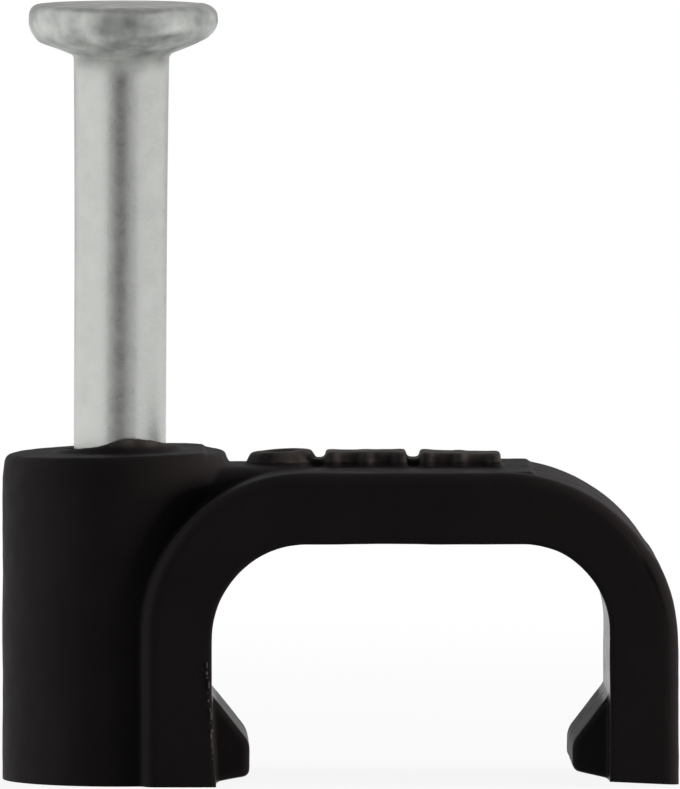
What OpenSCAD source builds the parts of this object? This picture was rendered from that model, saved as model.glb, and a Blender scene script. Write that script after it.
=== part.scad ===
// Nail-in clip for a flat cable: a moulded saddle with a nail boss at one side, and its nail part driven.
// Millimetres. The origin is on the nail's axis in the plane of the base, +X runs across the cable
// from the boss to the far leg, +Y runs along the cable and +Z points away from the wall.

/* [Cable channel] */
// Width of the channel between the two legs
channel_w = 8.6; // [7:0.1:14]
// Height of the channel from the base to the underside of the saddle
channel_h = 5.3; // [4.4:0.1:9]
// Inner radius of the shoulder beside the boss
boss_side_r = 2.05; // [1:0.05:2.4]
// Inner radius of the shoulder over the far leg
far_side_r = 1.9; // [1:0.05:2.4]

/* [Saddle strip] */
// Thickness of the strip that bends over the cable
strip_t = 1.5; // [1.2:0.05:1.9]
// Depth of the strip along the cable
strip_d = 5.6; // [5.4:0.1:9]
// Outer radius of the shoulder beside the boss
boss_side_outer_r = 3.5; // [2.6:0.05:4]
// Outer radius of the shoulder over the far leg
far_side_outer_r = 3.75; // [2.6:0.05:4]
// Rounding of the strip's outer long edges
strip_edge_r = 0.28; // [0.1:0.02:0.4]

/* [Hooks] */
// Reach of each hook into the channel
hook_reach = 0.8; // [0.4:0.05:1.2]
// Height of the hook's holding slope where it leaves the leg
hook_top_z = 1.95; // [1.5:0.05:2.4]
// Height of the top of the hook's nose
nose_top_z = 0.95; // [0.8:0.05:1.3]
// Height of the bottom of the hook's nose
nose_bottom_z = 0.32; // [0.2:0.02:0.5]
// Height of the hook's underside where it leaves the leg
hook_bottom_z = 0.1; // [0.05:0.01:0.2]
// Rounding of the hook's nose
nose_r = 0.16; // [0.05:0.01:0.2]
// Step from the strip's front and back faces to the hook's ends
hook_step = 0.6; // [0.2:0.05:1]

/* [Nail boss] */
// Wall of the boss around the nail's bore
boss_wall = 1.52; // [1.2:0.01:2]
// Wall between the bore and the cable channel
channel_wall = 0.93; // [0.6:0.01:1.4]
// Height of the boss above the saddle's top
boss_rise = 0.35; // [0.1:0.05:1]
// Rounding of the boss's top edge
boss_edge_r = 0.22; // [0.1:0.02:0.5]
// Tube radius of the lip of plastic round the mouth of the bore
lip_r = 0.25; // [0.15:0.01:0.35]
// Slope of the web's sides, which leave the boss in line with it and close in towards the saddle
web_taper = 21; // [8:1:26]
// Step from the boss's side in to the web's sides
web_step = 0.02; // [0.01:0.01:0.06]
// Step from the saddle's top down to the web's top
web_drop = 0.04; // [0.02:0.01:0.3]

/* [Nail] */
// Diameter of the nail's shaft
nail_d = 2; // [1.6:0.05:2.4]
// Length of the nail from the top of its head to its point
nail_len = 16.45; // [13:0.05:24]
// Height of the nail's point above the base, as supplied
point_z = 0.4; // [0.2:0.05:1.5]
// Length of the four-sided point
point_len = 3; // [2:0.1:4.5]
// Width left across the blunt end of the point
point_w = 0.24; // [0.1:0.02:0.5]
// Diameter of the nail's head
head_d = 4.13; // [3.6:0.01:5]
// Height of the head's round rim
head_rim_h = 0.66; // [0.4:0.02:0.9]
// Slope of the head's coned underside
head_under_a = 27; // [15:1:40]
// Step from the rim's curve in to the coned underside
head_under_step = 0.02; // [0.01:0.01:0.06]
// Radial clearance between the nail and its bore
bore_gap = 0.03; // [0.01:0.01:0.1]

/* [Relief on the saddle] */
// Height of the relief above the saddle's top
relief_h = 0.33; // [0.1:0.01:0.6]
// Outside diameter of the ring at its foot
ring_d = 1.66; // [1.2:0.02:2.4]
// Inset of the ring's brim from its foot
ring_inset = 0.17; // [0.05:0.01:0.2]
// Width of the ring's brim
ring_brim_w = 0.3; // [0.15:0.01:0.32]
// Depth of the dish inside the ring
dish_d = 0.16; // [0.05:0.01:0.3]
// Number of ribs in a ribbed pad
rib_count = 3; // [2:1:4]
// Width of a rib
rib_w = 0.36; // [0.2:0.02:0.5]
// Spacing of the ribs in a ribbed pad
rib_pitch = 0.73; // [0.6:0.01:1]
// Length of a rib along the cable
rib_len = 1.3; // [0.8:0.05:2]
// Height of the ridge of the webs between the ribs
ridge_h = 0.28; // [0.1:0.01:0.3]
// Height of the low ends of those webs
ridge_end_h = 0.05; // [0.02:0.01:0.2]
// Gap between the boss, the ring and the first pad
relief_gap = 0.12; // [0.05:0.01:0.4]
// Gap between the pads
pad_gap = 0.22; // [0.05:0.01:0.5]

/* [Hidden] */
$fn = 96;

// Overshoot of a cut past the face it opens
cut = 1;

nail_r = nail_d / 2;
bore_r = nail_r + bore_gap;
boss_r = bore_r + boss_wall;

channel_x0 = bore_r + channel_wall;
channel_x1 = channel_x0 + channel_w;
channel_mid_x = (channel_x0 + channel_x1) / 2;
saddle_top = channel_h + strip_t;
strip_x0 = channel_x0 - strip_t;
strip_x1 = channel_x1 + strip_t;
flat_x0 = strip_x0 + boss_side_outer_r;
flat_x1 = strip_x1 - far_side_outer_r;

boss_h = saddle_top + boss_rise;
web_top = saddle_top - web_drop;

head_top = point_z + nail_len;
rim_r = head_rim_h / 2;
rim_c = head_d / 2 - rim_r;
under_r = rim_c + (rim_r - head_under_step) * sin(head_under_a);
under_z = -rim_r - (rim_r - head_under_step) * cos(head_under_a);
neck_z = under_z - (under_r - nail_r) * tan(head_under_a);

ring_r = ring_d / 2;
brim_r = ring_r - ring_inset;
mouth_r = brim_r - ring_brim_w;
pad_len = (rib_count - 1) * rib_pitch + rib_w;
ring_x = boss_r + relief_gap + ring_r;
pads_x = ring_x + ring_r + relief_gap;
pad_pitch = pad_len + pad_gap;
pad_count = max(0, floor((flat_x1 + rib_pitch - pads_x) / pad_pitch));

// Points of the arc that rounds the corner at b, between the lines to a and to c
function round_corner(a, b, c, r, steps = 6) =
  let (
    u = (a - b) / norm(a - b),
    v = (c - b) / norm(c - b),
    half = acos(u * v) / 2,
    middle = b + (u + v) / norm(u + v) * r / sin(half),
    from = b + u * r / tan(half) - middle,
    to = b + v * r / tan(half) - middle,
    start = atan2(from.y, from.x),
    turn = atan2(from.x * to.y - from.y * to.x, from * to)
  )
  [for (i = [0:steps]) middle + r * [cos(start + turn * i / steps), sin(start + turn * i / steps)]];

// Half of an arched opening: w from its middle to its side, h high, with the top corner rounded
module half_arch(w, h, r) {
  translate([0, -cut])
    square([w, h - r + cut]);
  translate([0, -cut])
    square([w - r, h + cut]);
  translate([w - r, h - r])
    circle(r);
}

// Prism along the cable under an arch, with its own corner radius on the boss's side and the far side
module arch_prism(grow, boss_r_in, far_r_in, depth) {
  w = channel_w / 2 + grow;
  h = channel_h + grow;
  translate([channel_mid_x, depth / 2, 0])
    rotate([90, 0, 0])
      linear_extrude(depth) {
        half_arch(w, h, far_r_in);
        mirror([1, 0])
          half_arch(w, h, boss_r_in);
      }
}

// Section of the strip's outer side: len in from the outer face, with that face's long edges rounded
module outer_section(len) {
  r = strip_edge_r;
  translate([0, -strip_d / 2])
    square([len - r, strip_d]);
  translate([0, r - strip_d / 2])
    square([len, strip_d - 2 * r]);
  for (side = [-1, 1])
    translate([len - r, side * (strip_d / 2 - r)])
      circle(r);
}

// Leg and shoulder on the far side, about the shoulder's centre, before the channel is cut
module side_block(r) {
  centre_z = saddle_top - r;
  translate([0, 0, centre_z])
    rotate([90, 0, 0])
      rotate_extrude(angle = 90)
        outer_section(r);
  linear_extrude(centre_z)
    outer_section(r);
}

module top_block() {
  depth = max(boss_side_outer_r, far_side_outer_r);
  translate([flat_x0, 0, saddle_top - depth])
    rotate([0, -90, 180])
      linear_extrude(flat_x1 - flat_x0)
        outer_section(depth);
}

module strip() {
  difference() {
    union() {
      translate([flat_x0, 0, 0])
        mirror([1, 0, 0])
          side_block(boss_side_outer_r);
      translate([flat_x1, 0, 0])
        side_block(far_side_outer_r);
      top_block();
    }
    arch_prism(0, boss_side_r, far_side_r, strip_d + 2 * cut);
  }
}

// Catch inside the foot of a leg, reaching in +X from the leg's inner face at the origin
module hook() {
  holding = [0, hook_top_z];
  nose_top = [hook_reach, nose_top_z];
  nose_bottom = [hook_reach, nose_bottom_z];
  lead_in = [0, hook_bottom_z];
  root = -strip_t / 2;
  hook_d = strip_d - 2 * hook_step;
  translate([0, hook_d / 2, 0])
    rotate([90, 0, 0])
      linear_extrude(hook_d)
        polygon(concat(
          [[root, hook_bottom_z], [root, hook_top_z], holding],
          round_corner(holding, nose_top, nose_bottom, nose_r),
          round_corner(nose_top, nose_bottom, lead_in, nose_r),
          [lead_in]
        ));
}

module hooks() {
  translate([channel_x0, 0, 0])
    hook();
  translate([channel_x1, 0, 0])
    mirror([1, 0, 0])
      hook();
}

module boss() {
  rotate_extrude() {
    square([boss_r - boss_edge_r, boss_h]);
    square([boss_r, boss_h - boss_edge_r]);
    translate([boss_r - boss_edge_r, boss_h - boss_edge_r])
      circle(boss_edge_r);
  }
}

// Lip that the nail draws up round the mouth of the bore
module lip() {
  translate([0, 0, boss_h])
    rotate_extrude()
      translate([bore_r + lip_r / 3, 0])
        circle(lip_r);
}

// Web from the boss to the saddle, shaped in plan like the tail of a drop
module web() {
  bottom = saddle_top - boss_side_outer_r;
  side = boss_r - web_step;
  root_x = boss_r * sin(web_taper);
  root_y = (side - root_x * sin(web_taper)) / cos(web_taper);
  end_y = (side - flat_x0 * sin(web_taper)) / cos(web_taper);
  translate([0, 0, bottom])
    linear_extrude(web_top - bottom)
      polygon([[root_x, -root_y], [flat_x0, -end_y], [flat_x0, end_y], [root_x, root_y]]);
}

// Solid under the middle of the strip's thickness, which the boss and the web stop against
module under_strip() {
  arch_prism(
    strip_t / 2,
    (boss_side_r + boss_side_outer_r) / 2,
    (far_side_r + far_side_outer_r) / 2,
    2 * (boss_r + cut)
  );
}

// Coned ring round a dish, about the origin, which starts inside the strip as every mark does
module ring_mark() {
  translate([0, 0, saddle_top])
    rotate_extrude()
      polygon([
        [0, -strip_t / 2],
        [ring_r, -strip_t / 2],
        [ring_r, 0],
        [brim_r, relief_h],
        [mouth_r, relief_h],
        [mouth_r, relief_h - dish_d],
        [0, relief_h - dish_d]
      ]);
}

// Row of round-ended ribs, starting at the origin, with a roof-shaped web between neighbours
module ribbed_pad() {
  r = rib_w / 2;
  straight = rib_len - rib_w;
  translate([0, 0, saddle_top - strip_t / 2])
    linear_extrude(strip_t / 2 + relief_h)
      for (i = [0:rib_count - 1])
        translate([i * rib_pitch, 0]) {
          translate([0, -straight / 2])
            square([rib_w, straight]);
          for (side = [-1, 1])
            translate([r, side * straight / 2])
              circle(r);
        }
  translate([r, 0, saddle_top])
    rotate([90, 0, 90])
      linear_extrude(pad_len - rib_w)
        polygon([
          [-straight / 2, -strip_t / 2],
          [straight / 2, -strip_t / 2],
          [straight / 2, ridge_end_h],
          [0, ridge_h],
          [-straight / 2, ridge_end_h]
        ]);
}

module relief() {
  translate([ring_x, 0, 0])
    ring_mark();
  if (pad_count > 0)
    for (i = [0:pad_count - 1])
      translate([pads_x + i * pad_pitch, 0, 0])
        ribbed_pad();
}

module clip_body() {
  color("#1c1b1c")
    difference() {
      union() {
        difference() {
          union() {
            boss();
            lip();
            web();
          }
          under_strip();
        }
        strip();
        hooks();
        relief();
      }
      translate([0, 0, -cut])
        cylinder(r = bore_r, h = boss_h + lip_r + 2 * cut);
    }
}

// Wedge taken off one side of the shaft to form a face of the point
module point_cut() {
  slope = point_len / (nail_r - point_w / 2);
  reach = nail_r + cut;
  translate([0, nail_r + cut, 0])
    rotate([90, 0, 0])
      linear_extrude(2 * (nail_r + cut))
        polygon([
          [point_w / 2 - cut / slope, -cut],
          [reach, (reach - point_w / 2) * slope],
          [reach, -cut]
        ]);
}

module nail() {
  color("#b9bcba")
    difference() {
      translate([0, 0, head_top])
        rotate_extrude() {
          polygon([
            [0, -nail_len],
            [nail_r, -nail_len],
            [nail_r, neck_z],
            [under_r, under_z],
            [rim_c, -rim_r],
            [rim_c, 0],
            [0, 0]
          ]);
          translate([rim_c, -rim_r])
            circle(rim_r);
        }
      for (a = [0:90:270])
        translate([0, 0, point_z])
          rotate([0, 0, a])
            point_cut();
    }
}

clip_body();
nail();
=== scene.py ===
import math
import random
import bmesh
import bpy
from mathutils import Matrix, Vector, noise


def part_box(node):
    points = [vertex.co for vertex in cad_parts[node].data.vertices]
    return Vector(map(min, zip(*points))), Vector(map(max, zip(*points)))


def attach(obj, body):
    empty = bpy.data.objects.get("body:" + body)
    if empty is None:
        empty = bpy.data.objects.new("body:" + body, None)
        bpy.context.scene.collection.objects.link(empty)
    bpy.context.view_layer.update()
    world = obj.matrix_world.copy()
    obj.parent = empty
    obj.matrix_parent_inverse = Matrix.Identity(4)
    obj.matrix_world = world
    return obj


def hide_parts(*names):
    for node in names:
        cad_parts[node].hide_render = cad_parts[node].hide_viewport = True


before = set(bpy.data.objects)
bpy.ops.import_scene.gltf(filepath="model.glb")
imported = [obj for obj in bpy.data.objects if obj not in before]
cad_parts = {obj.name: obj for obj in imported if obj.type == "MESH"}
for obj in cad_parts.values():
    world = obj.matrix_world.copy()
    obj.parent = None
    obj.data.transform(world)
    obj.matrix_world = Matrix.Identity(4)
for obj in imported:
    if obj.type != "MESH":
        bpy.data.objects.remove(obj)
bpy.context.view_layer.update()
mm = 0.001
clipLow, clipHigh = [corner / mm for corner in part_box("clip_body")]
nailLow, nailHigh = [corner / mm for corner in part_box("nail")]
print("frame: clip", tuple(clipLow), tuple(clipHigh), "nail top", nailHigh.z)


def toLinear(hexColour):
    parts = [int(hexColour[i:i + 2], 16) / 255 for i in (1, 3, 5)]
    return [c / 12.92 if c <= 0.04045 else ((c + 0.055) / 1.055) ** 2.4 for c in parts] + [1.0]


def perMm(size):  # texture scale for a feature of this many millimetres, objects being in metres
    return 1 / (size * mm)


def addNode(tree, kind, settings=None, values=None, links=None):
    node = tree.nodes.new(kind)
    for name, value in (settings or {}).items():
        setattr(node, name, value)
    for socket, value in (values or {}).items():
        node.inputs[socket].default_value = value
    for socket, source in (links or {}).items():
        tree.links.new(source, node.inputs[socket])
    return node


def newMaterial(name):
    material = bpy.data.materials.new(name)
    material.use_nodes = True
    material.node_tree.nodes.clear()
    return material, material.node_tree


def newObject(name, bm):
    mesh = bpy.data.meshes.new(name)
    bm.to_mesh(mesh)
    bm.free()
    obj = bpy.data.objects.new(name, mesh)
    bpy.context.scene.collection.objects.link(obj)
    return obj


def roundEdges(bm, edges, radius, segments):
    bmesh.ops.bevel(bm, geom=edges, offset=radius, offset_type="OFFSET", segments=segments, profile=0.5,
                    affect="EDGES", material=-1, clamp_overlap=True)


def roundCorners(bm, verts, offset, segments):
    bmesh.ops.bevel(bm, geom=verts, offset=offset, offset_type="OFFSET", segments=segments, profile=0.5,
                    affect="VERTICES", material=-1)


# A flat outline in the XZ plane, its corners rounded by the offsets given, drawn out along Y about the middle
def outlinePrism(bm, corners, offsets, depth, segments=12):
    old = set(bm.verts)
    verts = [bm.verts.new((x, -depth / 2, z)) for x, z in corners]
    bm.faces.new(verts)
    for vert, offset in zip(verts, offsets):
        if offset:
            roundCorners(bm, [vert], offset, segments)
    face = [f for f in bm.faces if not old.intersection(f.verts)]
    drawn = bmesh.ops.extrude_face_region(bm, geom=face)
    moved = [v for v in drawn["geom"] if isinstance(v, bmesh.types.BMVert)]
    bmesh.ops.translate(bm, verts=moved, vec=(0, depth, 0))
    made = [v for v in bm.verts if v not in old]
    bmesh.ops.recalc_face_normals(bm, faces=[f for f in bm.faces if f.verts[0] not in old])
    return made


def edgesOf(verts, test):
    edges = {e for v in verts for e in v.link_edges}
    return [e for e in edges if test(e)]


def geometryOf(verts):
    edges = {e for v in verts for e in v.link_edges}
    faces = {f for v in verts for f in v.link_faces}
    return verts + list(edges) + list(faces)


def block(bm, low, high):
    size = [b - a for a, b in zip(low, high)]
    middle = [(a + b) / 2 for a, b in zip(low, high)]
    place = Matrix.Translation(middle) @ Matrix.Diagonal(size + [1])
    return bmesh.ops.create_cube(bm, size=1, matrix=place)["verts"]


# The moulded body, in millimetres until its mesh is finished
clip = {
    "channelLeft": 1.96,          # inner face of the leg beside the boss
    "stripThickness": 1.5,
    "saddleTop": 6.8,
    "channelHeight": 5.255,
    "bossShoulder": (2.05, 3.5),  # inner and outer radius
    "farShoulder": (1.9, 3.8),
    "outerEdge": 0.28,
    "hookReach": (0.83, 0.8),
    # heights of the holding slope, the nose's top and bottom and the underside, boss side first
    "hookHeights": ((1.96, 0.93, 0.19, 0.06), (1.97, 0.92, 0.32, 0.04)),
    "noseOffset": 0.14,
    "hookStep": 0.6,              # how far a hook's ends stand back from the strip's
    "hookEdge": 0.12,
    "hookPolish": (0.68, 0.34),   # how much of the channel's polish each hook has
    "bossHeight": 7.14,
    "bossWhole": 5.0,             # the boss is whole from this height up
    "bossCut": 1.2,               # and lower down ends here, inside the strip
    "bossEdge": 0.15,
    "bossTaper": (0.6, 0.024),    # height below the top and share by which its outer side is drawn in
    "bossTilt": 0.032,            # rise of the boss's top per millimetre towards the saddle
    "bossDroop": (1.1, 0.03),     # the top's corner beside the saddle droops from here on, by this much
    "bossStep": (1.8, 2.5, 0.04),  # a shallow step crosses the top between these places
    "bossPinch": (1.5, 0.78),     # from here on that corner is drawn in to this share
    "boreR": (1.04, 1.095),       # at the base and, opened by the nail, at the top
    "webStart": 0.9,
    "webEnds": (1.9, 1.5),        # half depth of the web at the boss and on the saddle
    "webLow": (4.6, 5.6),         # height of its underside there
    "webRise": 0.042,             # of the web over the saddle
    "webEdge": 0.75,
    "sunk": 0.1,                  # length cut off below to leave a crisp base
    "footFlare": (0.09, 2.0),     # the leg beside the boss thickens to its foot, from this height down
    "flareReach": (0.4, 0.6),     # into the leg and over its hook
    # the far foot stops short of the base: on its inner and outer side, and up to this height
    "farFootLift": (0.11, 0.04, 0.3),
    "voxel": 0.038,
    "uneven": ((0.014, 1.3), (0.006, 0.42)),  # heights and sizes of the waviness left by shrinkage
    # a step that crosses the far shoulder: its height, size and softness, and the middle of where it shows
    "farStep": (4.98, 0.024, 0.12, 4.7),
    "smoothPasses": 5,
    "triangles": 170000,
}
relief = {
    "flatX": (3.9, 8.92),         # ends of the low flat that carries the relief
    "flat": (2.35, 0.005, 0.04),  # its half depth, height and edge
    "root": 0.4,                  # how deep it all reaches into the saddle
    "height": 0.33,
    "line": 0.28,
    "draft": 0.05,
    "ringX": 3.5,
    "ringR": (0.83, 0.66, 0.36, 0.3),  # foot and brim outside, brim and floor inside
    "ringFloor": 0.27,
    "padsX": (4.47, 6.51),
    "ribPitch": 0.73,
    "ribs": 3,
    "ribLength": 1.3,
    "ribRound": 0.45,             # share of a rib's width by which its corners are rounded
    "webHeight": 0.325,           # a pad is a plain block that its ribs hardly rise above
    "webStep": 0.07,              # and stand out from at its ends
    "webSlope": 0.08,
    "plinth": (4.0, 6.6, 0.45, 0.17),  # a low bar that ties them together: ends, half depth and height
    "edge": 0.05,
    "ringTilt": 0.06,             # the ring's top rises towards the saddle's far side
    "sag": (6.6, 0.028),          # the pads sink in from here on, by this much per millimetre
}
lip = {
    "tube": 0.25,
    "centreR": 1.113,
    "highAt": math.radians(-80),  # the nail drew the plastic up most at the front
    "falls": (18, 11),            # how steeply the crest falls to the left and to the right
    "heights": (0.2, 0.4, 0.76),  # behind, more along the front, more at the crest
    "frontFall": 1.5,
    "rough": 0.16,
    "roughScale": 3.1,            # bumps per millimetre
    "roughSeed": 3.7,
}

saddleTop = clip["saddleTop"]
channelRight = clipHigh.x - clip["stripThickness"]
stripLeft = clip["channelLeft"] - clip["stripThickness"]
stripDepth = clipHigh.y - clipLow.y
bossR = -clipLow.x


def addStrip(bm):
    innerBoss, outerBoss = clip["bossShoulder"]
    innerFar, outerFar = clip["farShoulder"]
    foot = -clip["sunk"]
    corners = [
        (stripLeft, foot), (stripLeft, saddleTop), (clipHigh.x, saddleTop), (clipHigh.x, foot),
        (channelRight, foot), (channelRight, clip["channelHeight"]),
        (clip["channelLeft"], clip["channelHeight"]), (clip["channelLeft"], foot),
    ]
    made = outlinePrism(bm, corners, [0, outerBoss, outerFar, 0, 0, innerFar, innerBoss, 0], stripDepth, 24)
    eps = 1e-4

    def inner(v):
        inWidth = clip["channelLeft"] - eps < v.co.x < channelRight + eps
        return inWidth and v.co.z < clip["channelHeight"] + eps

    def long(e):
        return abs(e.verts[0].co.y - e.verts[1].co.y) < eps

    outer = edgesOf(made, lambda e: long(e) and not any(inner(v) for v in e.verts))
    roundEdges(bm, outer, clip["outerEdge"], 5)


def addBoss(bm):
    taperHeight, taper = clip["bossTaper"]
    taperFrom = clip["bossHeight"] - taperHeight
    droopFrom, droopSize = clip["bossDroop"]
    pinchFrom, pinch = clip["bossPinch"]
    for low, cutAt in ((-clip["sunk"], clip["bossCut"]), (clip["bossWhole"], None)):
        old = set(bm.verts)
        base = bmesh.ops.create_circle(bm, cap_ends=True, radius=bossR, segments=128,
                                       matrix=Matrix.Translation((0, 0, low)))["verts"]
        face = [f for f in bm.faces if base[0] in f.verts]
        drawn = bmesh.ops.extrude_face_region(bm, geom=face)["geom"]
        top = [v for v in drawn if isinstance(v, bmesh.types.BMVert)]
        bmesh.ops.translate(bm, verts=top, vec=(0, 0, clip["bossHeight"] - low))
        rim = edgesOf(top, lambda e: all(v in top for v in e.verts))
        roundEdges(bm, rim, clip["bossEdge"], 6)
        made = [v for v in bm.verts if v not in old]
        bmesh.ops.bisect_plane(bm, geom=geometryOf(made), plane_co=(0, 0, taperFrom), plane_no=(0, 0, 1))
        made = [v for v in bm.verts if v not in old]
        for v in made:
            if v.co.x < 0 and v.co.z > taperFrom:
                v.co.x *= 1 - taper * (v.co.z - taperFrom) / taperHeight
            if v.co.z > clip["bossHeight"] - clip["bossEdge"] - 0.01:
                droop = min(1.3, max(0, (v.co.x - droopFrom) / droopFrom))
                v.co.z += clip["bossTilt"] * v.co.x - droopSize * droop * droop
                if v.co.x > pinchFrom:
                    v.co.x = pinchFrom + (v.co.x - pinchFrom) * pinch
        if cutAt is not None:
            cut = bmesh.ops.bisect_plane(bm, geom=geometryOf(made), plane_co=(cutAt, 0, 0),
                                         plane_no=(1, 0, 0), clear_outer=True)["geom_cut"]
            bmesh.ops.edgeloop_fill(bm, edges=[e for e in cut if isinstance(e, bmesh.types.BMEdge)])
        made = [f for f in bm.faces if f.verts[0] not in old]
        bmesh.ops.recalc_face_normals(bm, faces=made)


# The web leaves the boss smoothly, narrows towards the saddle and ends inside the strip
def addWeb(bm):
    start = clip["webStart"]
    end = stripLeft + clip["bossShoulder"][1]
    wide, narrow = clip["webEnds"]
    lowAtBoss, lowOnSaddle = clip["webLow"]
    made = block(bm, (start, -1, 0), (end, 1, saddleTop + clip["webRise"]))
    for v in made:
        atBoss = v.co.x < start + 0.1
        v.co.y *= wide if atBoss else narrow
        if v.co.z < 1:
            v.co.z = lowAtBoss if atBoss else lowOnSaddle
    along = edgesOf(made, lambda e: abs(e.verts[0].co.x - e.verts[1].co.x) > 1 and e.verts[0].co.z > 6)
    roundEdges(bm, along, clip["webEdge"], 8)


def addHooks(bm):
    root = -clip["stripThickness"] / 2
    nose = clip["noseOffset"]
    sides = zip((clip["channelLeft"], channelRight), (1, -1), clip["hookReach"], clip["hookHeights"])
    for face, way, reach, heights in sides:
        slopeZ, noseTop, noseBottom, underZ = heights
        corners = [(root, underZ), (root, slopeZ - 0.02), (0, slopeZ), (reach, noseTop), (reach, noseBottom),
                   (0, underZ)]
        corners = [(face + way * x, z) for x, z in corners]
        made = outlinePrism(bm, corners, [0, 0, 0, nose, nose, 0], stripDepth - 2 * clip["hookStep"], 5)
        ends = edgesOf(made, lambda e: abs(e.verts[0].co.y - e.verts[1].co.y) < 1e-4)
        roundEdges(bm, ends, clip["hookEdge"], 3)


def addRelief(bm):
    top = saddleTop + relief["height"]
    low = saddleTop - relief["root"]
    line = relief["line"]
    draft = relief["draft"]
    left, right = relief["flatX"]
    deep, high, edge = relief["flat"]
    flat = block(bm, (left, -deep, low), (right, deep, saddleTop + high))
    roundEdges(bm, edgesOf(flat, lambda e: all(v.co.z > saddleTop for v in e.verts)), edge, 2)
    old = set(bm.verts)
    foot, brim, mouth, hollow = relief["ringR"]
    dish = saddleTop + relief["ringFloor"]
    corners = ((0, low), (foot, low), (foot, saddleTop), (brim, top), (mouth, top), (hollow, dish), (0, dish))
    profile = [bm.verts.new((relief["ringX"] + r, 0, z)) for r, z in corners]
    bm.faces.new(profile)
    roundCorners(bm, profile[3:5], relief["edge"], 4)
    faces = [f for f in bm.faces if not old.intersection(f.verts)]
    verts = {v for f in faces for v in f.verts}
    edges = {e for f in faces for e in f.edges}
    onAxis = [e for e in edges if all(abs(v.co.x - relief["ringX"]) < 1e-5 for v in e.verts)]
    bmesh.ops.delete(bm, geom=faces, context="FACES_ONLY")
    bmesh.ops.delete(bm, geom=onAxis, context="EDGES")
    bmesh.ops.spin(bm, geom=list(verts) + [e for e in edges if e.is_valid], cent=(relief["ringX"], 0, 0),
                   axis=(0, 0, 1), dvec=(0, 0, 0), angle=2 * math.pi, steps=48, use_merge=True)
    made = [v for v in bm.verts if v not in old]
    for v in made:
        v.co.z += relief["ringTilt"] * (v.co.x - relief["ringX"])
    bmesh.ops.remove_doubles(bm, verts=made, dist=1e-5)
    bmesh.ops.recalc_face_normals(bm, faces=[f for f in bm.faces if f.verts[0] not in old])
    half = relief["ribLength"] / 2
    old = set(bm.verts)
    for start in relief["padsX"]:
        for i in range(relief["ribs"]):
            x = start + i * relief["ribPitch"]
            made = block(bm, (x - draft, -half - draft, low), (x + line + draft, half + draft, top))
            upper = [v for v in made if v.co.z > saddleTop]
            bmesh.ops.scale(bm, vec=(line / (line + 2 * draft), half / (half + draft), 1), verts=upper,
                            space=Matrix.Translation((-x - line / 2, 0, 0)))
            upright = edgesOf(made, lambda e: abs(e.verts[0].co.z - e.verts[1].co.z) > 0.1)
            roundEdges(bm, upright, line * relief["ribRound"], 5)
        end = start + (relief["ribs"] - 1) * relief["ribPitch"] + line
        deep = half - relief["webStep"]
        high = saddleTop + relief["webHeight"]
        web = block(bm, (start + line / 2, -deep, low), (end - line / 2, deep, high))
        upper = edgesOf(web, lambda e: all(v.co.z > saddleTop for v in e.verts))
        lengthwise = [e for e in upper if abs(e.verts[0].co.x - e.verts[1].co.x) > 0.1]
        roundEdges(bm, lengthwise, relief["webSlope"], 2)
    first, last, deep, high = relief["plinth"]
    block(bm, (first, -deep, low), (last, deep, saddleTop + high))
    sagFrom, sag = relief["sag"]
    for v in bm.verts:
        if v not in old:
            v.co.z -= sag * max(0, v.co.x - sagFrom)


def addLip(bm):
    old = set(bm.verts)
    place = Matrix.Translation((lip["centreR"], 0, clip["bossHeight"])) @ Matrix.Rotation(math.pi / 2, 4, "X")
    ring = bmesh.ops.create_circle(bm, cap_ends=False, radius=lip["tube"], segments=16, matrix=place)["verts"]
    edges = {e for v in ring for e in v.link_edges}
    bmesh.ops.spin(bm, geom=ring + list(edges), cent=(0, 0, 0), axis=(0, 0, 1), dvec=(0, 0, 0),
                   angle=2 * math.pi, steps=72, use_merge=True)
    made = [v for v in bm.verts if v not in old]
    bmesh.ops.recalc_face_normals(bm, faces=[f for f in bm.faces if f.verts[0] not in old])
    for v in made:
        turn = math.atan2(v.co.y, v.co.x) - lip["highAt"]
        turn -= 2 * math.pi * round(turn / (2 * math.pi))
        facing = 0.5 + 0.5 * math.cos(turn)
        behind, front, crest = lip["heights"]
        spot = Vector((v.co.x * lip["roughScale"], v.co.y * lip["roughScale"], lip["roughSeed"]))
        rough = noise.noise(spot) * lip["rough"]
        crestFall = lip["falls"][turn > 0]
        raised = behind + front * facing ** lip["frontFall"] + crest * facing ** crestFall + rough * facing
        height = (v.co.z - clip["bossHeight"]) * raised
        v.co.z = clip["bossHeight"] + clip["bossTilt"] * v.co.x + height


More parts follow.
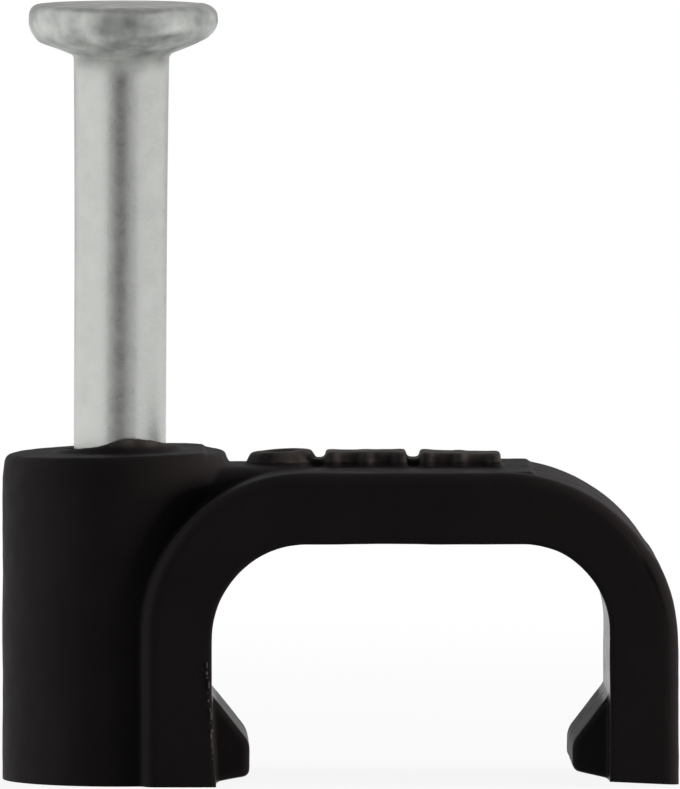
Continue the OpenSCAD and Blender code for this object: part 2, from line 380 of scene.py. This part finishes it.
def finishBody(bm):
    body = newObject("clipShell", bm)
    skin = body.modifiers.new("skin", "REMESH")
    skin.mode = "VOXEL"
    skin.voxel_size = clip["voxel"]
    cutter = bmesh.new()
    base, mouth = clip["boreR"]
    drillLength = 20
    wider = (mouth - base) * drillLength / 2 / clip["bossHeight"]
    bmesh.ops.create_cone(cutter, cap_ends=True, cap_tris=False, segments=128, radius1=base - wider,
                          radius2=base + wider, depth=drillLength)
    drill = newObject("boreDrill", cutter)
    bore = body.modifiers.new("bore", "BOOLEAN")
    bore.operation = "DIFFERENCE"
    bore.object = drill
    bore.solver = "MANIFOLD"
    shown = body.evaluated_get(bpy.context.evaluated_depsgraph_get())
    shell = bpy.data.meshes.new_from_object(shown)
    out = bmesh.new()
    out.from_mesh(shell)
    print("clip: moulded skin", len(out.verts), "vertices")
    for _ in range(clip["smoothPasses"]):
        bmesh.ops.smooth_vert(out, verts=out.verts[:], factor=0.5, use_axis_x=True, use_axis_y=True,
                              use_axis_z=True)
    out.normal_update()
    stepX, stepEnd, stepDrop = clip["bossStep"]
    stepZ, stepOut, stepSoft, stepMiddle = clip["farStep"]
    for v in out.verts:
        v.co += v.normal * sum(height * noise.noise(v.co / size) for height, size in clip["uneven"])
        if v.co.x > 10 and v.normal.x > 0.2:  # the far leg's outer side
            fade = math.exp(-(v.co.z - stepMiddle) ** 2)
            v.co += v.normal * stepOut * math.tanh((stepZ - v.co.z) / stepSoft) * fade
        above = v.co.z - saddleTop - 0.05
        if stepX < v.co.x < stepEnd and above > 0:
            v.co.z -= stepDrop * min(1, (v.co.x - stepX) / 0.08) * min(1, above / 0.15)
    cut = bmesh.ops.bisect_plane(out, geom=out.verts[:] + out.edges[:] + out.faces[:], plane_co=(0, 0, 0),
                                 plane_no=(0, 0, -1), clear_outer=True)["geom_cut"]
    bmesh.ops.triangle_fill(out, edges=[e for e in cut if isinstance(e, bmesh.types.BMEdge)], use_beauty=True)
    innerLift, outerLift, liftHeight = clip["farFootLift"]
    farFootFrom = channelRight - clip["hookReach"][1] - 0.1
    flare, flareHeight = clip["footFlare"]
    intoLeg, overHook = clip["flareReach"]
    for v in out.verts:
        if v.co.x > farFootFrom and v.co.z < liftHeight:
            outward = max(0, v.co.x - channelRight) / clip["stripThickness"]
            lift = innerLift + (outerLift - innerLift) * outward
            v.co.z += lift * (1 - v.co.z / liftHeight)
        beyond = v.co.x - clip["channelLeft"]
        if -intoLeg < beyond < overHook and v.co.z < flareHeight:
            near = 1 + beyond / intoLeg if beyond < 0 else 1 - beyond / overHook
            v.co.x += flare * near * (1 - v.co.z / flareHeight)
    bmesh.ops.recalc_face_normals(out, faces=out.faces[:])
    bpy.data.objects.remove(drill)
    bpy.data.objects.remove(body)
    return out


# Beads of flash along the inner edge of the leg beside the boss, where the two halves of the tool met
flash = {
    "count": 14,
    "top": (1.84, 2.72),
    "bottom": (1.99, 0.5),
    "radii": (0.011, 0.03),
    "drift": 0.02,          # off the edge, to either side
    "flatten": 0.7,
    "stretch": (0.9, 1.6),  # cubed, along the edge
    # how pale each bead is painted: a painted glint on the black flash
    "glintTones": (0.2, 0.8),
    "seed": 11,
}


def addFlash(bm):
    dice = random.Random(flash["seed"])
    beads = []
    for i in range(flash["count"]):
        share = (i + dice.uniform(0.1, 0.9)) / flash["count"]
        x, z = [a + (b - a) * share for a, b in zip(flash["top"], flash["bottom"])]
        place = Matrix.Translation((x + dice.uniform(-flash["drift"], flash["drift"]), -stripDepth / 2, z))
        longer = dice.uniform(*flash["stretch"]) ** 3
        radius = dice.uniform(*flash["radii"])
        shape = place @ Matrix.Diagonal((1, flash["flatten"], longer, 1))
        bmesh.ops.create_icosphere(bm, subdivisions=2, radius=radius, matrix=shape)
        beads.append((place.translation.x, z, radius, radius * longer, dice.uniform(*flash["glintTones"])))
    return beads


def thinned(name, bm, triangles):
    count = sum(len(f.verts) - 2 for f in bm.faces)
    rough = newObject(name + "Full", bm)
    thin = rough.modifiers.new("thin", "DECIMATE")
    thin.ratio = min(1, triangles / count)
    shown = rough.evaluated_get(bpy.context.evaluated_depsgraph_get())
    mesh = bpy.data.meshes.new_from_object(shown)
    mesh.name = name
    bpy.data.objects.remove(rough)
    obj = bpy.data.objects.new(name, mesh)
    bpy.context.scene.collection.objects.link(obj)
    return obj


bm = bmesh.new()
addStrip(bm)
addBoss(bm)
addWeb(bm)
addHooks(bm)
addRelief(bm)
addLip(bm)
bm = finishBody(bm)
beads = addFlash(bm)
bmesh.ops.scale(bm, vec=(mm, mm, mm), verts=bm.verts[:])
clipPiece = thinned("clip_moulding", bm, clip["triangles"])
for polygon in clipPiece.data.polygons:  # smooth but for the flat base
    polygon.use_smooth = polygon.normal.z > -0.995 or polygon.center.z > 0.2 * mm

# Plastic that the nail drew up at the bore's mouth is paler, in patches; the same paler colour also paints
# glints on the flash beads and a sheen on the relief's tops
paleWearAndSheen = {
    "patches": 4,          # per millimetre
    "burr": (0.28, 0.45),  # tone all over, and more in the patches
    # painted sheen on the relief's tops: tone all over, and more in the patches
    "relief": (0.14, 0.24),
}

# The core that forms the channel is polished, the outside of the tool is not
polish = clipPiece.data.attributes.new("polish", "FLOAT", "POINT")
scuffAndPaintedSheen = clipPiece.data.attributes.new("scuffAndPaintedSheen", "FLOAT", "POINT")
for v in clipPiece.data.vertices:
    x, y, z = v.co / mm
    patch = min(1, max(0, 0.5 + 1.4 * noise.noise(Vector((x, y, z)) * paleWearAndSheen["patches"])))
    if math.hypot(x, y) < 1.5:  # at the bore's mouth
        plain, more = paleWearAndSheen["burr"]
        risen = min(1, max(0, (z - clip["bossHeight"] - 0.1) / 0.2))
        scuffAndPaintedSheen.data[v.index].value = (plain + more * patch) * risen
    # the flash beads get the pale colour as painted glints
    elif x < clip["channelLeft"] + 0.2 and y < 0.002 - stripDepth / 2 and z < 3:
        glintTones = [t for cx, cz, rx, rz, t in beads if abs(x - cx) < rx * 1.05 and abs(z - cz) < rz * 1.05]
        scuffAndPaintedSheen.data[v.index].value = max(glintTones, default=0)
    # the relief's tops are painted paler as a painted sheen, not worn
    elif x > relief["ringX"] - 1 and z > saddleTop + 0.1:
        plain, more = paleWearAndSheen["relief"]
        scuffAndPaintedSheen.data[v.index].value = plain + more * patch
    inWidth = clip["channelLeft"] - 0.04 < x < channelRight + 0.04
    inside = inWidth and z < clip["channelHeight"] + 0.04 and abs(y) < stripDepth / 2 - 0.06
    onHook = z < 2.05 and min(x - clip["channelLeft"], channelRight - x) > 0.12
    held = clip["hookPolish"][x > 6]
    polish.data[v.index].value = (held if onHook else 1) if inside else 0
print("clip:", len(clipPiece.data.polygons), "faces")


# The nail, in millimetres until its mesh is finished
nail = {
    "shaftR": 1.0,
    "seated": 0.033,         # how much lower the head stands than in the construction
    "neckSwell": 0.036,      # the wire thickens a little towards the upset head
    "swellFrom": 10.0,
    "swellFade": 0.4,        # height above the neck at which that has faded out
    "rimHeight": 0.66,
    "rimOffsets": (0.3, 0.23),  # lower and upper corner
    "rimTurn": 0.13,         # how much rounder the rim's top is on the side over the saddle
    "rimTop": 0.35,          # height of that top
    "rimTilt": 0.03,         # slope of the rim's lower edge, which rises on that side
    "neckFrom": 15.0,
    "neckZ": 15.727,
    "underOffset": 0.08,
    "pointLength": 3.0,
    "pointWidth": 0.24,
    "headShift": 0.045,      # the head sits a little off the wire's axis
    "lean": 0.038,           # drift of the wire at its neck
    "leanFrom": 7.4,
    "crown": 0.025,
    "dents": 0.03,           # unevenness that the heading die left
    "dentSize": 0.6,
    "dentSeed": 5,
    "turns": 144,
    # marks of the dies that gripped the wire while its head was struck, height, half height and depth
    "gripMark": (15.47, 0.05, 0.018),
    "gripAngles": (17, 11),  # middle and half width in degrees from the front, and again behind
}


def buildNail():
    noise.seed_set(nail["dentSeed"])
    top = nailHigh.z - nail["seated"]
    headR = nailHigh.x
    corners = [(0, nailLow.z), (nail["shaftR"], nailLow.z), (nail["shaftR"], nail["neckZ"]),
               (headR, top - nail["rimHeight"]), (headR, top), (0, top)]
    bm = bmesh.new()
    verts = [bm.verts.new((r, 0, z)) for r, z in corners]
    bm.faces.new(verts)
    lower, upper = nail["rimOffsets"]
    rounds = ((verts[3], lower), (verts[4], upper), (verts[2], nail["underOffset"]))
    for vert, offset in rounds:
        roundCorners(bm, [vert], offset, 10)
    bmesh.ops.delete(bm, geom=bm.faces[:], context="FACES_ONLY")
    onAxis = [e for e in bm.edges if all(v.co.x == 0 for v in e.verts)]
    bmesh.ops.delete(bm, geom=onAxis, context="EDGES")
    shaft = [e for e in bm.edges if e.calc_length() > 5]
    bmesh.ops.subdivide_edges(bm, edges=shaft, cuts=40)
    low, high = nail["neckFrom"], nail["neckZ"]
    neck = [e for e in bm.edges if e.calc_length() > 0.2 and all(low < v.co.z < high for v in e.verts)]
    bmesh.ops.subdivide_edges(bm, edges=neck, cuts=11)
    cone = [e for e in bm.edges if 0.6 < e.calc_length() < 1.6]
    bmesh.ops.subdivide_edges(bm, edges=cone, cuts=14)
    bmesh.ops.spin(bm, geom=bm.verts[:] + bm.edges[:], cent=(0, 0, 0), axis=(0, 0, 1), dvec=(0, 0, 0),
                   angle=2 * math.pi, steps=nail["turns"], use_merge=True)
    bmesh.ops.remove_doubles(bm, verts=bm.verts[:], dist=1e-5)
    bmesh.ops.recalc_face_normals(bm, faces=bm.faces[:])
    half = nail["pointWidth"] / 2
    rise = Vector((nail["pointLength"], 0, half - nail["shaftR"])).normalized()
    for i in range(4):
        turn = Matrix.Rotation(i * math.pi / 2, 3, "Z")
        cut = bmesh.ops.bisect_plane(bm, geom=bm.verts[:] + bm.edges[:] + bm.faces[:],
                                     plane_co=turn @ Vector((half, 0, nailLow.z)), plane_no=turn @ rise,
                                     clear_outer=True)["geom_cut"]
        bmesh.ops.edgeloop_fill(bm, edges=[e for e in cut if isinstance(e, bmesh.types.BMEdge)])
    markZ, markHalf, markDepth = nail["gripMark"]
    markAt, markWide = nail["gripAngles"]
    for v in bm.verts:
        if abs(v.co.z - markZ) < 3 * markHalf:
            turn = math.degrees(math.atan2(v.co.x, -v.co.y)) % 180
            offHeight = (v.co.z - markZ) / markHalf
            offAngle = (turn - markAt) / markWide
            sunk = markDepth * math.exp(-offHeight ** 2 - offAngle ** 4)
            v.co.x *= 1 - sunk
            v.co.y *= 1 - sunk
        share = min(1, max(0, (v.co.z - nail["swellFrom"]) / (nail["neckZ"] - nail["swellFrom"])))
        fade = max(0, 1 - max(0, v.co.z - nail["neckZ"]) / nail["swellFade"])
        grow = 1 + nail["neckSwell"] * share * share * fade
        v.co.x *= grow
        v.co.y *= grow
        headShare = min(1, max(0, (v.co.z - nail["neckZ"]) / (top - nail["rimHeight"] - nail["neckZ"])))
        if headShare > 0:
            spread = math.hypot(v.co.x, v.co.y) / headR
            if v.co.z > top - 0.01:
                v.co.z += nail["crown"] * (1 - spread * spread)
            above = (v.co.z - top) / nail["rimTop"] + 1
            if above > 0:
                v.co.x -= nail["rimTurn"] * max(0, v.co.x / headR) ** 2 * above * above
            else:
                v.co.z += nail["rimTilt"] * v.co.x * min(1, -above) * spread * spread
            dent = noise.noise_vector(v.co / nail["dentSize"]) * nail["dents"]
            dent *= min(1, 2 * headShare) * spread
            v.co += Vector((dent.x, dent.y, 0 if v.co.z > top - 0.01 else dent.z))
        leaning = max(0, (v.co.z - nail["leanFrom"]) / (nail["neckZ"] - nail["leanFrom"]))
        v.co.x += nail["headShift"] * headShare + nail["lean"] * leaning
    bmesh.ops.recalc_face_normals(bm, faces=bm.faces[:])
    return bm


bm = buildNail()
bmesh.ops.scale(bm, vec=(mm, mm, mm), verts=bm.verts[:])
nailPiece = newObject("wire_nail", bm)
for polygon in nailPiece.data.polygons:
    polygon.use_smooth = True
nailPiece.data.set_sharp_from_angle(angle=math.radians(32))
print("nail:", len(nailPiece.data.polygons), "faces")


# Polyethylene filled with carbon black, injection moulded: a deep, faintly warm black with a satin skin
plasticLook = {
    "dark": "#171516",
    "light": "#232021",
    "speck": "#6f6a64",
    "mottle": 2.6,        # mm, slow drift of the black
    "skin": 0.5,          # mm, patches where the skin is duller
    "grain": 0.11,        # mm, tool texture, drawn coarser than real so that it shows
    "grainDepth": 0.007,  # mm
    "speckGap": 2.3,      # mm between specks of dust
    "speckSize": (0.008, 0.018),  # shares of that gap, of its middle and its rim
    "speckTone": 0.6,
    # pale colour of drawn plastic at the bore's mouth, also used for painted glints on the flash and a
    # painted sheen on the relief
    "scuffAndPaintedSheen": "#5d5956",
    "roughness": (0.52, 0.62),
    "polish": 0.33,       # how much smoother the channel is than the outside
    "specular": 0.043,
}


def plasticMaterial():
    material, tree = newMaterial("moulded_black_polyethylene")
    place = addNode(tree, "ShaderNodeTexCoord").outputs["Object"]
    mottle = addNode(tree, "ShaderNodeTexNoise", None, {"Scale": perMm(plasticLook["mottle"]), "Detail": 4},
                     {"Vector": place})
    tone = addNode(tree, "ShaderNodeMix", {"data_type": "RGBA"},
                   {"A": toLinear(plasticLook["dark"]), "B": toLinear(plasticLook["light"])},
                   {"Factor": mottle.outputs["Fac"]})
    dust = addNode(tree, "ShaderNodeTexVoronoi", None, {"Scale": perMm(plasticLook["speckGap"])},
                   {"Vector": place})
    middle, rim = plasticLook["speckSize"]
    spot = addNode(tree, "ShaderNodeMapRange", None,
                   {"From Min": middle, "From Max": rim, "To Min": plasticLook["speckTone"], "To Max": 0},
                   {"Value": dust.outputs["Distance"]})
    colour = addNode(tree, "ShaderNodeMix", {"data_type": "RGBA"}, {"B": toLinear(plasticLook["speck"])},
                     {"Factor": spot.outputs["Result"], "A": tone.outputs["Result"]})
    # paler where the nail drew the plastic, and where glints and sheen are painted on the flash and the
    # relief
    drawn = addNode(tree, "ShaderNodeAttribute", {"attribute_name": "scuffAndPaintedSheen"}).outputs["Fac"]
    colour = addNode(tree, "ShaderNodeMix", {"data_type": "RGBA"}, {"B": toLinear(plasticLook["scuffAndPaintedSheen"])},
                     {"Factor": drawn, "A": colour.outputs["Result"]})
    skin = addNode(tree, "ShaderNodeTexNoise", None, {"Scale": perMm(plasticLook["skin"]), "Detail": 5},
                   {"Vector": place})
    low, high = plasticLook["roughness"]
    dull = addNode(tree, "ShaderNodeMapRange", None,
                   {"From Min": 0.3, "From Max": 0.7, "To Min": low, "To Max": high},
                   {"Value": skin.outputs["Fac"]})
    core = addNode(tree, "ShaderNodeAttribute", {"attribute_name": "polish"}).outputs["Fac"]
    finish = addNode(tree, "ShaderNodeMath", {"operation": "MULTIPLY_ADD"}, {1: -plasticLook["polish"]},
                     {0: core, 2: dull.outputs["Result"]})
    grain = addNode(tree, "ShaderNodeTexNoise", None, {"Scale": perMm(plasticLook["grain"]), "Detail": 3},
                    {"Vector": place})
    bump = addNode(tree, "ShaderNodeBump", None,
                   {"Distance": plasticLook["grainDepth"] * mm, "Strength": 0.6},
                   {"Height": grain.outputs["Fac"]})
    shader = addNode(tree, "ShaderNodeBsdfPrincipled", None,
                     {"IOR": 1.5, "Specular IOR Level": plasticLook["specular"]},
                     {"Base Color": colour.outputs["Result"], "Roughness": finish.outputs[0],
                      "Normal": bump.outputs["Normal"]})
    addNode(tree, "ShaderNodeOutputMaterial", None, None, {"Surface": shader.outputs["BSDF"]})
    return material


# Drawn steel wire, bright zinc plated: pale grey metal with fine lengthwise draw lines and cloudy plating
zincLook = {
    "dark": "#a0a4a1",
    "light": "#dcddd9",
    "seed": 20.18,
    "cloud": 0.5,          # mm, patches of the plating, strong on the worked head and faint on the wire
    "cloudRange": (0.33, 0.7),  # of the noise, from dark to light
    "wireCloud": 0.22,
    "wireTone": 0.7,
    "worked": (15.4, 15.8),     # mm, heights over which the wire turns into the worked head
    "workedDull": 0.2,     # the head is duller than the wire
    "underDull": 0.38,     # and its coned underside duller still
    "underRise": (15.2, 15.65),  # mm, where that sets in
    "underEnd": (16.0, 16.2),    # mm, where it ends
    "line": 0.12,          # mm, spacing of the draw lines round the wire
    "lineLength": 3.5,     # mm
    "lineDepth": 0.001,    # mm
    "pit": 0.26,           # mm, grain of the plating
    "pitDepth": 0.012,     # mm
    "roughness": (0.18, 0.3),
}


def zincMaterial():
    material, tree = newMaterial("zinc_plated_drawn_steel")
    place = addNode(tree, "ShaderNodeTexCoord").outputs["Object"]
    cloud = addNode(tree, "ShaderNodeTexNoise", {"noise_dimensions": "4D"},
                    {"Scale": perMm(zincLook["cloud"]), "Detail": 6, "W": zincLook["seed"]},
                    {"Vector": place})
    low, high = zincLook["cloudRange"]
    patch = addNode(tree, "ShaderNodeMapRange", None, {"From Min": low, "From Max": high},
                    {"Value": cloud.outputs["Fac"]})
    height = addNode(tree, "ShaderNodeSeparateXYZ", None, None, {"Vector": place}).outputs["Z"]
    start, end = zincLook["worked"]
    wireCloud = zincLook["wireCloud"]
    worked = addNode(tree, "ShaderNodeMapRange", None,
                     {"From Min": start * mm, "From Max": end * mm, "To Min": wireCloud, "To Max": 1},
                     {"Value": height})
    clouded = addNode(tree, "ShaderNodeMix", {"data_type": "FLOAT"}, {"A": zincLook["wireTone"]},
                      {"Factor": worked.outputs["Result"], "B": patch.outputs["Result"]})
    tone = addNode(tree, "ShaderNodeMix", {"data_type": "RGBA"},
                   {"A": toLinear(zincLook["dark"]), "B": toLinear(zincLook["light"])},
                   {"Factor": clouded.outputs["Result"]})
    squeeze = zincLook["line"] / zincLook["lineLength"]
    along = addNode(tree, "ShaderNodeMapping", None, {"Scale": (1, 1, squeeze)}, {"Vector": place})
    lines = addNode(tree, "ShaderNodeTexNoise", None, {"Scale": perMm(zincLook["line"]), "Detail": 2},
                    {"Vector": along.outputs["Vector"]})
    low, high = zincLook["roughness"]
    dull = addNode(tree, "ShaderNodeMapRange", None,
                   {"From Min": 0.3, "From Max": 0.7, "To Min": low, "To Max": high},
                   {"Value": cloud.outputs["Fac"]})
    finish = addNode(tree, "ShaderNodeMath", {"operation": "MULTIPLY_ADD"}, {1: zincLook["workedDull"]},
                     {0: worked.outputs["Result"], 2: dull.outputs["Result"]})
    start, end = zincLook["underRise"]
    neck = addNode(tree, "ShaderNodeMapRange", None, {"From Min": start * mm, "From Max": end * mm},
                   {"Value": height})
    start, end = zincLook["underEnd"]
    under = addNode(tree, "ShaderNodeMapRange", None, {"From Min": end * mm, "From Max": start * mm},
                    {"Value": height})
    coned = addNode(tree, "ShaderNodeMath", {"operation": "MULTIPLY"}, None,
                    {0: neck.outputs["Result"], 1: under.outputs["Result"]})
    finish = addNode(tree, "ShaderNodeMath", {"operation": "MULTIPLY_ADD"}, {1: zincLook["underDull"]},
                     {0: coned.outputs[0], 2: finish.outputs[0]})
    drawn = addNode(tree, "ShaderNodeBump", None, {"Distance": zincLook["lineDepth"] * mm, "Strength": 0.5},
                    {"Height": lines.outputs["Fac"]})
    pits = addNode(tree, "ShaderNodeTexNoise", None, {"Scale": perMm(zincLook["pit"]), "Detail": 3},
                   {"Vector": place})
    bump = addNode(tree, "ShaderNodeBump", None, {"Distance": zincLook["pitDepth"] * mm, "Strength": 0.5},
                   {"Height": pits.outputs["Fac"], "Normal": drawn.outputs["Normal"]})
    shader = addNode(tree, "ShaderNodeBsdfPrincipled", None, {"Metallic": 1},
                     {"Base Color": tone.outputs["Result"], "Roughness": finish.outputs[0],
                      "Normal": bump.outputs["Normal"]})
    addNode(tree, "ShaderNodeOutputMaterial", None, None, {"Surface": shader.outputs["BSDF"]})
    return material


clipPiece.data.materials.append(plasticMaterial())
nailPiece.data.materials.append(zincMaterial())
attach(clipPiece, "clip")
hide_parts("clip_body")
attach(nailPiece, "nail")
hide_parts("nail")
print("materials and bodies set")


# White tent round the part, dark on the camera's side
studio = {
    "floorSize": 2.4,
    "floorDrop": 0.01,         # mm, how far it lies below the part's base
    "floorGlow": (0.9, 1.0),   # share of its white that shadows leave alone, near the part and far off
    "glowReach": (0.012, 0.06),
    "floorSeen": "#f2f2f2",    # to the eye
    "floorBounce": "#747474",  # as the part is lit by it
    "skyDiffuse": 0.015,
    "cardRadius": 0.15,
    "cardHeight": 0.22,
    # angle from the camera's side in degrees, and how bright the tent is there
    "tent": ((-180, 0.52), (-156, 0.61), (-130, 0.93), (-48, 0.95), (-30, 0.72), (-18, 0.38), (-8, 0.1),
             (2, 0.05), (8, 0.16), (17, 0.54), (31, 0.77), (120, 0.84), (146, 0.6), (180, 0.52)),
    "roof": 0.25,
    "apron": 0.44,             # a card on the floor before the part
    "apronAngles": (-34, 40),
    "apronInner": 0.0027,
    "apronRise": 0.00002,
    "aim": (0.0048, 0, 0.006),  # where the lamps point
    "lamps": (
        ("lamp_left", (-0.36, -0.064, 0.05), 0.2, 1.0, "#ffffff"),
        ("lamp_right", (0.3, -0.046, 0.02), 0.1, 2.6, "#fff4ef"),
        ("lamp_top", (0.02, 0.05, 0.4), 0.3, 0.15, "#ffffff"),
        ("lamp_back", (0.1, 0.36, 0.2), 0.3, 0.3, "#ffffff"),
    ),
}


def shownRay(tree):
    path = addNode(tree, "ShaderNodeLightPath")
    seen = addNode(tree, "ShaderNodeMath", {"operation": "MAXIMUM"}, None,
                   {0: path.outputs["Is Camera Ray"], 1: path.outputs["Is Glossy Ray"]})
    return addNode(tree, "ShaderNodeMath", {"operation": "MAXIMUM"}, None,
                   {0: seen.outputs[0], 1: path.outputs["Is Transmission Ray"]}).outputs[0]


def buildFloor():
    bm = bmesh.new()
    bmesh.ops.create_grid(bm, x_segments=1, y_segments=1, size=studio["floorSize"] / 2,
                          matrix=Matrix.Translation((0, 0, -studio["floorDrop"] * mm)))
    floor = newObject("studio_floor", bm)
    material, tree = newMaterial("white_paper_floor")
    seen = shownRay(tree)
    tone = addNode(tree, "ShaderNodeMix", {"data_type": "RGBA"},
                   {"A": toLinear(studio["floorBounce"]), "B": toLinear(studio["floorSeen"])},
                   {"Factor": seen})
    paper = addNode(tree, "ShaderNodeBsdfDiffuse", None, None, {"Color": tone.outputs["Result"]})
    glow = addNode(tree, "ShaderNodeEmission", None, {"Color": (1, 1, 1, 1), "Strength": 1})
    place = addNode(tree, "ShaderNodeTexCoord").outputs["Object"]
    reach = addNode(tree, "ShaderNodeVectorMath", {"operation": "LENGTH"}, None, {0: place})
    near, far = studio["floorGlow"]
    start, end = studio["glowReach"]
    even = addNode(tree, "ShaderNodeMapRange", {"interpolation_type": "SMOOTHSTEP"},
                   {"From Min": start, "From Max": end, "To Min": near, "To Max": far},
                   {"Value": reach.outputs["Value"]})
    share = addNode(tree, "ShaderNodeMath", {"operation": "MULTIPLY"}, None,
                    {0: seen, 1: even.outputs["Result"]})
    mixed = addNode(tree, "ShaderNodeMixShader", None, None,
                    {0: share.outputs[0], 1: paper.outputs[0], 2: glow.outputs[0]})
    addNode(tree, "ShaderNodeOutputMaterial", None, None, {"Surface": mixed.outputs[0]})
    floor.data.materials.append(material)


def glossOnly(card):
    card.visible_camera = False
    card.visible_diffuse = False
    card.visible_transmission = False
    card.visible_shadow = False


# A card bent round the nail's axis, between two angles from the camera's side
def bentCard(name, start, end, low, high):
    bm = bmesh.new()
    turn = math.radians(start - 90)
    foot = Vector((math.cos(turn), math.sin(turn), 0)) * studio["cardRadius"]
    verts = [bm.verts.new(foot + Vector((0, 0, z))) for z in (low, high)]
    edge = bm.edges.new(verts)
    bmesh.ops.spin(bm, geom=verts + [edge], cent=(0, 0, 0), axis=(0, 0, 1), dvec=(0, 0, 0),
                   angle=math.radians(end - start), steps=96, use_merge=False)
    return newObject(name, bm)


def glowCard(name, level):
    material, tree = newMaterial(name)
    glow = addNode(tree, "ShaderNodeEmission", None, {"Color": level, "Strength": 1})
    addNode(tree, "ShaderNodeOutputMaterial", None, None, {"Surface": glow.outputs[0]})
    return material, tree, glow


def buildCards():
    card = bentCard("tent_wall", -180, 180, -0.02, studio["cardHeight"])
    material, tree, glow = glowCard("tent_wall", (1, 1, 1, 1))
    place = addNode(tree, "ShaderNodeTexCoord").outputs["Object"]
    spun = addNode(tree, "ShaderNodeMapping", None, {"Rotation": (0, 0, math.pi / 2)}, {"Vector": place})
    turn = addNode(tree, "ShaderNodeTexGradient", {"gradient_type": "RADIAL"}, None,
                   {"Vector": spun.outputs["Vector"]})
    ramp = addNode(tree, "ShaderNodeValToRGB", None, None, {"Fac": turn.outputs["Fac"]})
    stops = ramp.color_ramp.elements
    while len(stops) < len(studio["tent"]):
        stops.new(0.5)
    for stop, (angle, level) in zip(stops, studio["tent"]):
        stop.position = 0.5 + angle / 360
        stop.color = (level, level, level, 1)
    tree.links.new(ramp.outputs["Color"], glow.inputs["Color"])
    card.data.materials.append(material)
    glossOnly(card)

    bm = bmesh.new()
    start, end = studio["apronAngles"]
    turn = math.radians(start - 90)
    out = Vector((math.cos(turn), math.sin(turn), 0))
    rise = Vector((0, 0, studio["apronRise"]))
    verts = [bm.verts.new(out * r + rise) for r in (studio["apronInner"], studio["cardRadius"])]
    edge = bm.edges.new(verts)
    bmesh.ops.spin(bm, geom=verts + [edge], cent=(0, 0, 0), axis=(0, 0, 1), dvec=(0, 0, 0),
                   angle=math.radians(end - start), steps=48, use_merge=False)
    apron = newObject("apron_card", bm)
    apron.data.materials.append(glowCard("tent_apron", (studio["apron"],) * 3 + (1,))[0])
    glossOnly(apron)

    bm = bmesh.new()
    bmesh.ops.create_circle(bm, cap_ends=True, radius=studio["cardRadius"], segments=96,
                            matrix=Matrix.Translation((0, 0, studio["cardHeight"])))
    roof = newObject("tent_roof", bm)
    roof.data.materials.append(glowCard("tent_roof", (studio["roof"],) * 3 + (1,))[0])
    glossOnly(roof)


def buildWorld():
    world = bpy.data.worlds.new("white_tent")
    bpy.context.scene.world = world
    world.use_nodes = True
    tree = world.node_tree
    tree.nodes.clear()
    level = addNode(tree, "ShaderNodeMapRange", None, {"To Min": studio["skyDiffuse"], "To Max": 1},
                    {"Value": shownRay(tree)})
    sky = addNode(tree, "ShaderNodeBackground", None, {"Color": (1, 1, 1, 1)},
                  {"Strength": level.outputs["Result"]})
    addNode(tree, "ShaderNodeOutputWorld", None, None, {"Surface": sky.outputs[0]})


def buildLamps():
    aim = Vector(studio["aim"])
    for name, spot, size, level, tint in studio["lamps"]:
        data = bpy.data.lights.new(name, "AREA")
        data.size = size
        data.color = toLinear(tint)[:3]
        reach = (Vector(spot) - aim).length
        data.energy = level * math.pi * math.pi * reach * reach  # level 1 lights a facing white card to white
        lamp = bpy.data.objects.new(name, data)
        bpy.context.scene.collection.objects.link(lamp)
        lamp.location = spot
        lamp.rotation_euler = (aim - Vector(spot)).to_track_quat("-Z", "Y").to_euler()
        lamp.visible_glossy = False


# The camera stands 640 mm off and a little above, square to the clip's front
camera = {
    "place": (-7.02, -641.4, 46.03),  # mm
    "turn": 0.01839,                  # radians to the right
    "tip": -0.05868,                  # radians up
    "focalPixels": 29615.7,
    "imageHeight": 789,
    "sensor": 36.0,
}


def buildCamera():
    data = bpy.data.cameras.new("photo_camera")
    data.sensor_width = camera["sensor"]
    data.lens = camera["sensor"] * camera["focalPixels"] / camera["imageHeight"]
    data.clip_start = 0.01
    data.clip_end = 10
    eye = bpy.data.objects.new("photo_camera", data)
    bpy.context.scene.collection.objects.link(eye)
    eye.location = Vector(camera["place"]) * mm
    eye.rotation_euler = (math.pi / 2 + camera["tip"], 0, -camera["turn"])
    bpy.context.scene.camera = eye


buildFloor()
buildCards()
buildWorld()
buildLamps()
buildCamera()
bpy.context.scene.view_settings.view_transform = "Standard"
print("studio set")
